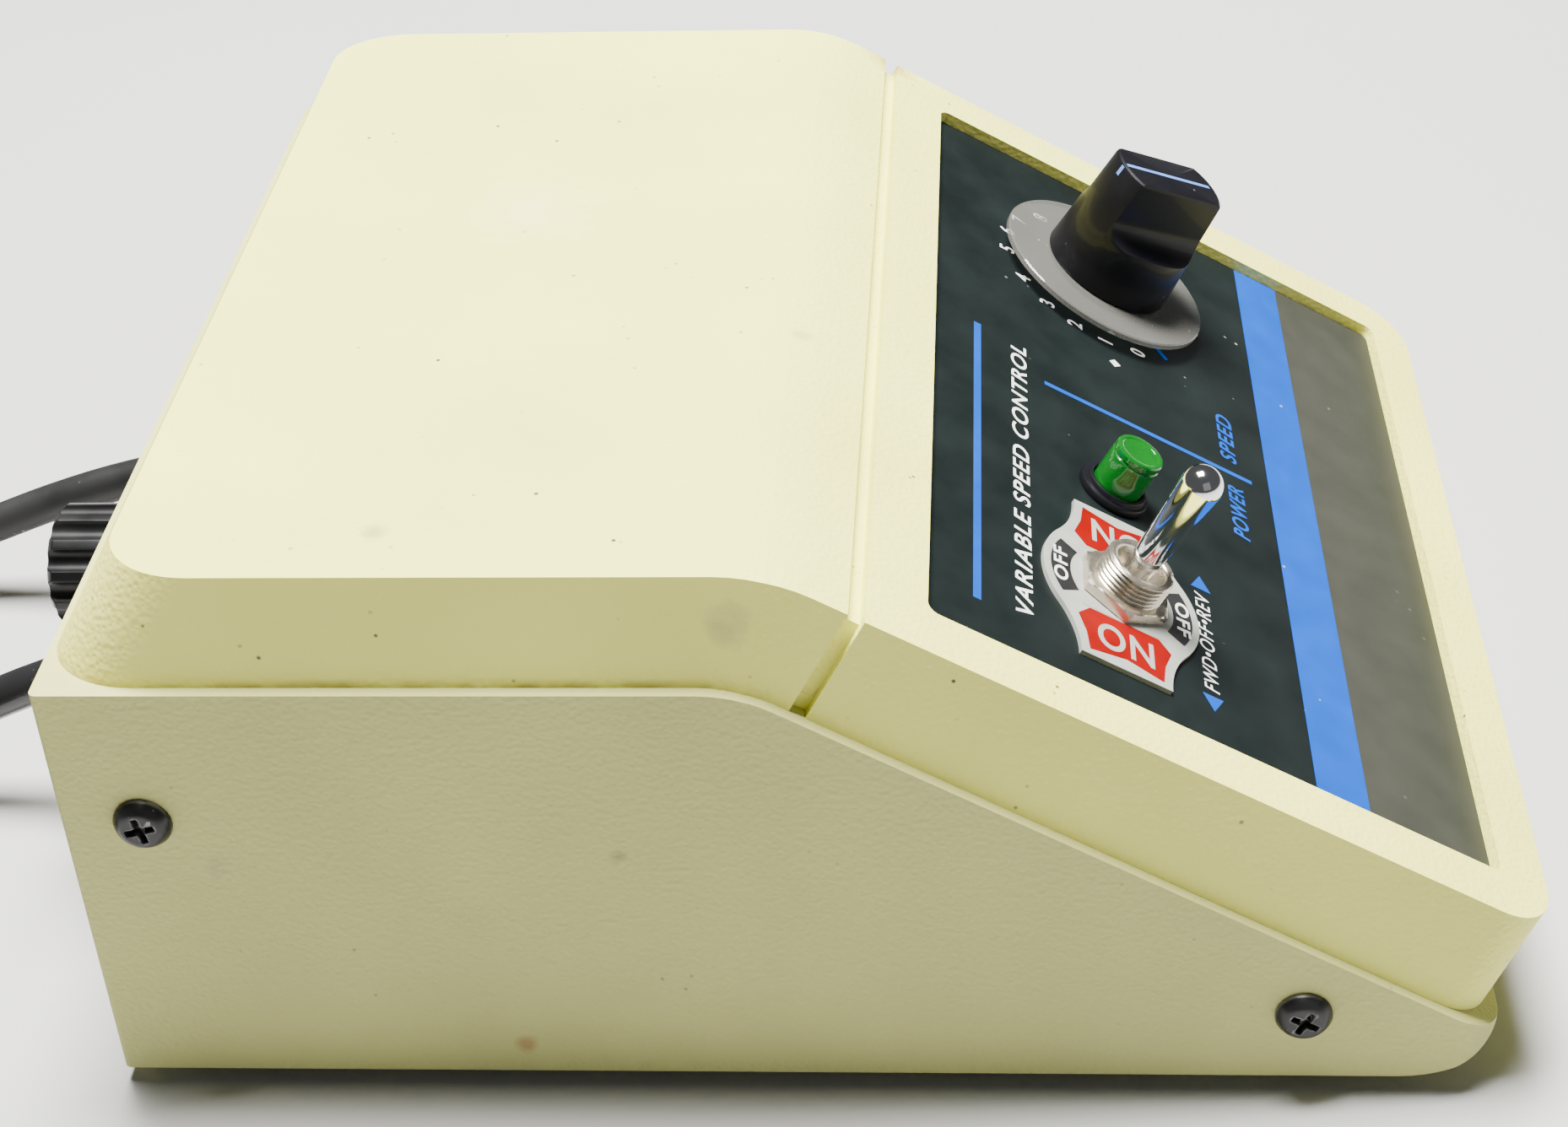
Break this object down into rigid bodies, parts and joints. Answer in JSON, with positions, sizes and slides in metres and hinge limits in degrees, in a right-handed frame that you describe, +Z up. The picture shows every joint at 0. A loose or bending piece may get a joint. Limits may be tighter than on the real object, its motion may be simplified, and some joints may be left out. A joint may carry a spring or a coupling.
{
  "type": "benchtop motor speed controller",
  "caption": "Wedge-fronted plastic control box for a motor drive, with a toggle switch, pilot lamp, speed knob, rear fuse holder and two rear cords",
  "frame": {"origin": "centre of the object's footprint without the cords, on the surface it stands on", "axes": "+Z up, +Y towards the rear (cord side), the operator stands at -Y, +X to the operator's right"},
  "size_m": [0.259, 0.4075, 0.096],
  "materials": {
    "case_cream": "moulded, fine leather-like grain",
    "panel_print": "printed control panel, dark field with a blue stripe",
    "black_plastic": "moulded, semi-gloss",
    "phenolic": "moulded phenolic",
    "nickel": "nickel plate, slightly worn",
    "chrome_bright": "polished plate",
    "plate_metal": "printed indicator plate",
    "brass": "tinned and plain brass",
    "green_lens": "translucent green plastic lens",
    "clear_glass": "clear",
    "smoky_skirt": "clear to smoky acrylic disc",
    "zinc_steel": "zinc plated",
    "black_steel": "black oxide",
    "rubber_black": "soft rubber",
    "cord_black": "glossy black cord jacket",
    "cord_grey": "matt dark grey cord jacket",
    "board_green": "glass-fibre laminate",
    "core_iron": "varnished laminations",
    "coil_tape": "taped winding",
    "heatsink_alu": "extruded",
    "blue_sleeve": "heat-shrunk sleeve",
    "component_blue": "moulded",
    "ceramic_white": "ceramic",
    "tie_black": "woven tie strap"
  },
  "bodies": {
    "case": {"lower_case": "case_cream", "top_cover": "case_cream", "front_panel": "panel_print", "switch_body": "phenolic", "switch_bushing": "nickel", "switch_lock_washer": "zinc_steel", "switch_plate": "plate_metal", "switch_nut": "nickel", "switch_terminals": "brass", "lamp_bezel": "black_plastic", "lamp_body": "black_plastic", "lamp_lens": "green_lens", "lamp_bulb": "clear_glass", "lamp_clip": "zinc_steel", "lamp_leads": "brass", "pot_body": "heatsink_alu", "pot_bushing": "brass", "pot_nut": "nickel", "pot_terminals": "brass", "fuse_holder_body": "black_plastic", "fuse_holder_nut": "black_plastic", "fuse_terminals": "brass", "case_screws": "black_steel", "rubber_feet": "rubber_black", "foot_screws": "zinc_steel", "circuit_board": "board_green", "board_screws": "zinc_steel", "transformer_core": "core_iron", "transformer_coil": "coil_tape", "heatsink": "heatsink_alu", "power_transistors": "black_plastic", "heatsink_screws": "zinc_steel", "filter_capacitors": "blue_sleeve", "relay": "component_blue", "terminal_block": "board_green", "terminal_screws": "zinc_steel", "trim_pots": "component_blue", "power_resistor": "ceramic_white", "control_chips": "black_plastic", "power_strain_relief": "rubber_black", "motor_strain_relief": "rubber_black", "power_cord": "cord_black", "power_coil": "cord_black", "power_tail": "cord_black", "power_tie": "tie_black", "power_plug": "cord_black", "plug_blades": "brass", "motor_cord": "cord_grey", "motor_coil": "cord_grey", "motor_tail": "cord_grey", "motor_tie": "tie_black", "motor_connector": "black_plastic", "connector_pins": "brass"},
    "toggle_lever": {"toggle_lever": "chrome_bright"},
    "speed_control": {"speed_knob": "black_plastic", "knob_skirt": "smoky_skirt", "knob_set_screw": "black_steel", "pot_shaft": "heatsink_alu"},
    "fuse_carrier": {"fuse": "clear_glass"},
    "fuse_cap": {"fuse_cap": "black_plastic"}
  },
  "joints": [
    {"name": "toggle_tilt", "type": "hinge", "parent": "case", "child": "toggle_lever", "pos_m": [-0.052, -0.05409, 0.06394], "axis": [0, 0.866, 0.5], "range_deg": [-13, 13]},
    {"name": "knob_turn", "type": "hinge", "parent": "case", "child": "speed_control", "pos_m": [0.0458, -0.05509, 0.06567], "axis": [0, -0.5, 0.866], "range_deg": [-159, 110]},
    {"name": "fuse_slide", "type": "slide", "parent": "case", "child": "fuse_carrier", "axis": [0, 1, 0], "range_m": [0, 0.0048]},
    {"name": "fuse_cap_turn", "type": "hinge", "parent": "fuse_carrier", "child": "fuse_cap", "pos_m": [-0.035, 0.11285, 0.0582], "axis": [0, 1, 0], "range_deg": [0, 1080]}
  ],
  "couplings": [
    {"joint": "fuse_slide", "follows": "fuse_cap_turn", "m_per_rad": 0.00025465}
  ]
}
